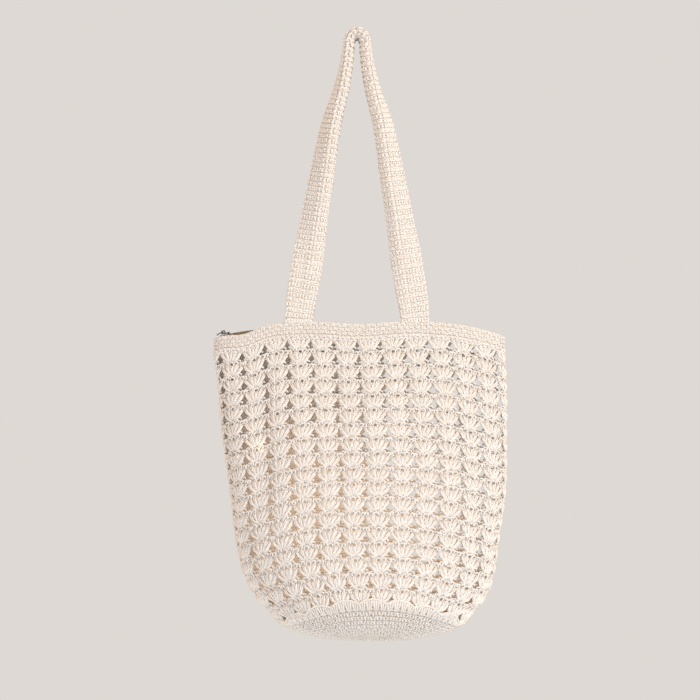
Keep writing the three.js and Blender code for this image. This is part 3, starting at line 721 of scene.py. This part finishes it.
def slab_object(name, cloth, thickness, material):
    """A thin closed sheet that follows a cloth."""
    rows, columns = cloth.points.shape[:2]
    outer = cloth.points + cloth.normals * thickness / 2
    inner = cloth.points - cloth.normals * thickness / 2
    number = np.arange(rows * columns).reshape(rows, columns)
    quad = np.stack([number[:-1, :-1], number[1:, :-1], number[1:, 1:], number[:-1, 1:]], -1)
    back = quad[..., ::-1] + rows * columns
    rim = np.concatenate([number[0, ::-1], number[1:, 0], number[-1, 1:], number[-2:0:-1, -1]])
    after = np.roll(rim, -1)
    wall = np.stack([rim, rim + rows * columns, after + rows * columns, after], -1)
    faces = np.concatenate([quad.reshape(-1, 4), back.reshape(-1, 4), wall])
    points = np.concatenate([outer.reshape(-1, 3), inner.reshape(-1, 3)]) * MM
    mesh = bpy.data.meshes.new(name)
    mesh.from_pydata(points.tolist(), [], faces.tolist())
    mesh.polygons.foreach_set("use_smooth", np.ones(len(faces), bool))
    mesh.update()
    made = bpy.data.objects.new(name, mesh)
    made.data.materials.append(material)
    bpy.context.scene.collection.objects.link(made)
    return made


def sewing(cloth, share, gap=4.0, length=2.8, thread=0.28):
    """A line of running stitches along a cloth, at one share of its height."""
    run = np.linalg.norm(np.diff(cloth.points[-1], axis=0), axis=1).sum()
    start = (np.arange(int(run / gap)) + 0.3)[:, None] * gap
    t = np.linspace(0, 1, 5)[None, :]
    along_tape = (start + t * length) / run
    out = -0.45 - 0.25 * np.sin(math.pi * t)
    paths, normals = cloth.at(share, along_tape, out)
    return [(paths, normals, tapered(5, thread, 0.7))]


# Materials


class Nodes:
    """A short way to write a material's nodes."""

    def __init__(self, name):
        self.material = bpy.data.materials.new(name)
        self.material.use_nodes = True
        self.tree = self.material.node_tree
        self.shader = self.tree.nodes["Principled BSDF"]

    def add(self, kind, inputs=None, **settings):
        node = self.tree.nodes.new(kind)
        for key, value in settings.items():
            setattr(node, key, value)
        for key, value in (inputs or {}).items():
            self.put(node.inputs[key], value)
        return node

    def put(self, socket, value):
        if isinstance(value, bpy.types.NodeSocket):
            self.tree.links.new(value, socket)
        else:
            socket.default_value = value

    def maths(self, operation, a, b=0.0):
        node = self.add("ShaderNodeMath", operation=operation)
        self.put(node.inputs[0], a)
        self.put(node.inputs[1], b)
        return node.outputs[0]

    def mix(self, share, a, b):
        node = self.add("ShaderNodeMix", data_type="RGBA")
        for key, value in ((0, share), (6, a), (7, b)):
            self.put(node.inputs[key], value)
        return node.outputs[2]

    def finish(self, **sockets):
        for key, value in sockets.items():
            self.put(self.shader.inputs[key.replace("_", " ")], value)
        return self.material


def srgb(r, g, b):
    linear = [((c / 255 + 0.055) / 1.055) ** 2.4 for c in (r, g, b)]
    return (*linear, 1.0)


PLIES, PLY_TURNS = 3.0, 0.26  # strands in a yarn, and their ridges per millimetre


def yarn_material(name, light, dark):
    """Plied cotton: strands that wind round the yarn, fine fuzz, slightly uneven colour and
    painted shade in the grooves.
    """
    n = Nodes(name)
    uv = n.add("ShaderNodeUVMap", uv_map="yarn")
    parts = n.add("ShaderNodeSeparateXYZ", {"Vector": uv.outputs[0]})
    turns = n.maths("MULTIPLY", parts.outputs[1], PLIES)
    pitch = n.maths("MULTIPLY", parts.outputs[0], PLY_TURNS)
    wave = n.maths("SINE", n.maths("MULTIPLY", n.maths("ADD", turns, pitch), 2 * math.pi))
    ply = n.maths("ABSOLUTE", wave)
    place = n.add("ShaderNodeTexCoord").outputs["Object"]
    fuzz = n.add("ShaderNodeTexNoise", {"Vector": place, "Scale": 2600.0, "Detail": 3.0})
    broad = n.add("ShaderNodeTexNoise", {"Vector": place, "Scale": 38.0, "Detail": 2.0})
    tone = n.add("ShaderNodeAttribute", attribute_name="tone").outputs["Fac"]
    share = n.maths("MULTIPLY", n.maths("ADD", tone, broad.outputs[0]), 0.42)
    # Painted shade: the colour leans to the dark tone in the grooves between the plies, where ply
    # is low.
    share = n.maths("ADD", share, n.maths("MULTIPLY", n.maths("SUBTRACT", 1.0, ply), 0.25))
    colour = n.mix(share, light, dark)
    ridges, hairs = n.maths("MULTIPLY", ply, 0.75), n.maths("MULTIPLY", fuzz.outputs[0], 0.5)
    height = n.maths("ADD", ridges, hairs)
    bumped = n.add("ShaderNodeBump", {"Height": height, "Strength": 0.6, "Distance": 0.0005})
    return n.finish(Base_Color=colour, Roughness=0.92, Sheen_Weight=0.35, Sheen_Roughness=0.5,
                    Specular_IOR_Level=0.2, Normal=bumped.outputs[0])


def tape_material():
    """Twill tape of the zip: fine slanting ribs and a woven grain."""
    n = Nodes("zip_tape_twill")
    place = n.add("ShaderNodeTexCoord").outputs["Object"]
    turned = n.add("ShaderNodeMapping", {"Vector": place, "Rotation": (0.0, 0.6, 0.0)})
    rib = n.add("ShaderNodeTexWave", {"Vector": turned.outputs[0], "Scale": 420.0,
                                      "Distortion": 0.6, "Detail": 1.0})
    grain = n.add("ShaderNodeTexNoise", {"Vector": place, "Scale": 900.0, "Detail": 2.0})
    colour = n.mix(grain.outputs[0], srgb(150, 122, 90), srgb(104, 80, 56))
    bumped = n.add("ShaderNodeBump", {"Height": rib.outputs[1], "Strength": 0.5,
                                      "Distance": 0.0002})
    return n.finish(Base_Color=colour, Roughness=0.85, Sheen_Weight=0.2,
                    Normal=bumped.outputs[0])


def coil_material():
    n = Nodes("zip_coil_nylon")
    place = n.add("ShaderNodeTexCoord").outputs["Object"]
    wear = n.add("ShaderNodeTexNoise", {"Vector": place, "Scale": 300.0})
    colour = n.mix(wear.outputs[0], srgb(96, 74, 52), srgb(58, 43, 30))
    return n.finish(Base_Color=colour, Roughness=0.38)


def metal_material():
    """Dark lacquer over metal, rubbed brighter in patches, with fine scratches."""
    n = Nodes("zip_dark_metal")
    place = n.add("ShaderNodeTexCoord").outputs["Object"]
    wear = n.add("ShaderNodeTexNoise", {"Vector": place, "Scale": 420.0, "Detail": 4.0})
    scratch = n.add("ShaderNodeTexNoise", {"Vector": place, "Scale": 1500.0, "Detail": 2.0})
    rubbed = n.add("ShaderNodeMapRange", {"Value": wear.outputs[0], "From Min": 0.55,
                                          "From Max": 0.75})
    colour = n.mix(rubbed.outputs[0], srgb(40, 36, 33), srgb(122, 108, 88))
    rough = n.maths("ADD", 0.28, n.maths("MULTIPLY", scratch.outputs[0], 0.25))
    bumped = n.add("ShaderNodeBump", {"Height": scratch.outputs[0], "Strength": 0.15,
                                      "Distance": 0.0001})
    return n.finish(Base_Color=colour, Metallic=0.9, Roughness=rough, Normal=bumped.outputs[0])


def plain_material(name, colour, other):
    n = Nodes(name)
    place = n.add("ShaderNodeTexCoord").outputs["Object"]
    cloud = n.add("ShaderNodeTexNoise", {"Vector": place, "Scale": 1.5, "Detail": 3.0})
    return n.finish(Base_Color=n.mix(cloud.outputs[0], colour, other), Roughness=0.95)


# Stage, in metres and watts

CAMERA_PLACE, CAMERA_LENS, CAMERA_END = (-0.0077, -3.0, -0.3432), 140.0, 30.0
WALL_SEEN = srgb(222, 217, 212)
ROOM_LIGHT, ROOM_STRENGTH = srgb(240, 235, 229), 0.81
LAMP_AIM = (0, -0.03, -0.4)
LAMPS = (  # name, place, size, power and colour
    ("key", (2.1, -1.5, 0.5), 1.3, 43, (1.0, 0.92, 0.83)),
    ("fill", (-1.9, -1.3, 0.1), 1.8, 11, (1.0, 0.64, 0.38)),
    ("low", (0.0, -1.7, -0.95), 0.7, 9.5, (0.38, 0.68, 1.0)),
    ("back", (-0.6, 2.0, 0.9), 1.4, 20, (1.0, 0.98, 0.95)),
)
INSIDE_PLACE, INSIDE_WIDE, INSIDE_HIGH = (0, -0.035, -0.53), 0.22, 0.18
INSIDE_POWER, INSIDE_COLOUR, INSIDE_TILT = 0.05, (1.0, 0.80, 0.60), 0.15
FLOOR_LEVEL, FLOOR_RADIUS = -1.3, 3.0


def make_camera(scene):
    camera = bpy.data.objects.new("camera", bpy.data.cameras.new("camera"))
    camera.data.lens, camera.data.clip_end = CAMERA_LENS, CAMERA_END
    camera.location = CAMERA_PLACE
    camera.rotation_euler = (math.radians(90), 0, 0)
    scene.collection.objects.link(camera)
    scene.camera = camera
    scene.view_settings.view_transform = "Standard"


def make_world(scene):
    """A pale wall for the camera, and a slightly brighter room for everything else."""
    world = bpy.data.worlds.new("studio")
    world.use_nodes = True
    tree = world.node_tree
    seen = tree.nodes.new("ShaderNodeBackground")
    seen.inputs["Color"].default_value = WALL_SEEN
    light = tree.nodes["Background"]
    light.inputs["Color"].default_value = ROOM_LIGHT
    light.inputs["Strength"].default_value = ROOM_STRENGTH
    path = tree.nodes.new("ShaderNodeLightPath")
    both = tree.nodes.new("ShaderNodeMixShader")
    tree.links.new(path.outputs["Is Camera Ray"], both.inputs[0])
    tree.links.new(light.outputs[0], both.inputs[1])
    tree.links.new(seen.outputs[0], both.inputs[2])
    tree.links.new(both.outputs[0], tree.nodes["World Output"].inputs[0])
    scene.world = world


def add_lamp(scene, name, place, facing, power, colour, **form):
    data = bpy.data.lights.new(name, "AREA")
    data.energy, data.color = power, colour
    for key, value in form.items():
        setattr(data, key, value)
    lamp = bpy.data.objects.new(name, data)
    lamp.location = place
    lamp.rotation_euler = Vector(facing).to_track_quat("-Z", "Y").to_euler()
    scene.collection.objects.link(lamp)
    return lamp


def make_lamps(scene):
    for name, place, size, power, colour in LAMPS:
        facing = np.array(LAMP_AIM) - np.array(place)
        add_lamp(scene, name, place, facing, power, colour, shape="DISK", size=size)
    # A faint light inside the bag stands for what the white yarn lets through.
    for name, side in (("inside_to_back", 1), ("inside_to_front", -1)):
        facing = (0, side, INSIDE_TILT)
        lamp = add_lamp(scene, name, INSIDE_PLACE, facing, INSIDE_POWER, INSIDE_COLOUR,
                        shape="RECTANGLE", size=INSIDE_WIDE, size_y=INSIDE_HIGH)
        lamp.visible_camera = False


def make_floor():
    bpy.ops.mesh.primitive_circle_add(vertices=96, radius=FLOOR_RADIUS, fill_type="NGON",
                                      location=(0, 0, FLOOR_LEVEL))
    floor = bpy.context.active_object
    floor.name = "floor"
    look = plain_material("floor_pale", srgb(226, 221, 212), srgb(220, 214, 204))
    floor.data.materials.append(look)


make_camera(bpy.context.scene)
make_world(bpy.context.scene)
make_lamps(bpy.context.scene)
make_floor()


# Pieces

COTTON = yarn_material("cotton_yarn", srgb(251, 243, 236), srgb(240, 227, 214))


def dress(piece, slot, *nodes):
    """Ties a piece to the bag and hides the nodes that it replaces; slot is not used."""
    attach(piece, "bag")
    if nodes:
        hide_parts(*nodes)
    return piece


def make_lace():
    half = SHELLS // 2
    upper, lower = np.arange(SHELL_ROWS // 2), np.arange(SHELL_ROWS // 2, SHELL_ROWS)
    for name, columns in (("front", np.arange(half)), ("back", np.arange(half, SHELLS))):
        for part, rows in (("upper", upper), ("lower", lower)):
            strands = shells(rows, columns) + row_cores(rows, columns)
            piece = yarn_object(f"lace_{name}_{part}", strands, COTTON, sides=4)
            dress(piece, "lace_cotton", "shell_stitch_body")


def even_rows(count, low=0.0, high=1.0):
    edges = np.linspace(low, high, count + 1)
    return list(zip(edges[:-1], edges[1:]))


def make_close_work():
    per_row = [RIM_STITCHES] * RIM_ROWS
    rows = even_rows(RIM_ROWS, 0, RIM_PLAIN)
    rim = close_stitches(RIM, rows, per_row, thick=1.0, ring=True, ribs=1, core=1.3)
    rim_piece = yarn_object("rim_stitches", rim + rim_foot(), COTTON, sides=4)
    dress(rim_piece, "rim_cotton", "rim_band")
    rounds = even_rows(BASE_ROUNDS, *BASE_PLAIN)
    stitches = [max(6, round(BASE_STITCHES * (1 - sum(r) / 2))) for r in rounds]
    base = close_stitches(BASE, rounds, stitches, thick=1.15, ring=True, faces=(1,), core=1.4)
    base_piece = yarn_object("base_stitches", base + scallops(), COTTON, sides=4)
    dress(base_piece, "base_cotton", "base_panel")
    for side, name in ((-1, "front"), (1, "back")):
        cloth = make_handle(side)
        per_row = [HANDLE_STITCHES] * HANDLE_ROWS
        rows = even_rows(HANDLE_ROWS)
        work = close_stitches(cloth, rows, per_row, thick=1.3, ring=False, ribs=2)
        piece = yarn_object(f"handle_{name}_stitches", work, COTTON, sides=4)
        dress(piece, "handle_cotton", f"handle_{name}")


def make_zip():
    tape_look, coil_look = tape_material(), coil_material()
    thread = yarn_material("sewing_thread", srgb(206, 190, 164), srgb(176, 156, 126))
    for side, name in ((-1, "front"), (1, "back")):
        cloth = zip_tape(side)
        tape = slab_object(f"zipper_tape_{name}_cloth", cloth, TAPE_LOOK, tape_look)
        dress(tape, "zipper_tape", f"zipper_tape_{name}")
        coil = yarn_object(f"zipper_coil_{name}_turns", zip_coil(side), coil_look, sides=4)
        dress(coil, "zipper_coil", f"zipper_coil_{name}")
        seam = yarn_object(f"zipper_seam_{name}", sewing(cloth, 0.8), thread, sides=4)
        dress(seam, "zipper_tape")
    metal = metal_material()
    for node in ("zipper_slider", "zipper_pull"):
        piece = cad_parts[node]
        piece.material_slots[0].material = metal
        bevel = piece.modifiers.new("bevel", "BEVEL")
        bevel.width, bevel.segments, bevel.limit_method = 0.0002, 2, "ANGLE"


make_lace()
make_close_work()
make_zip()
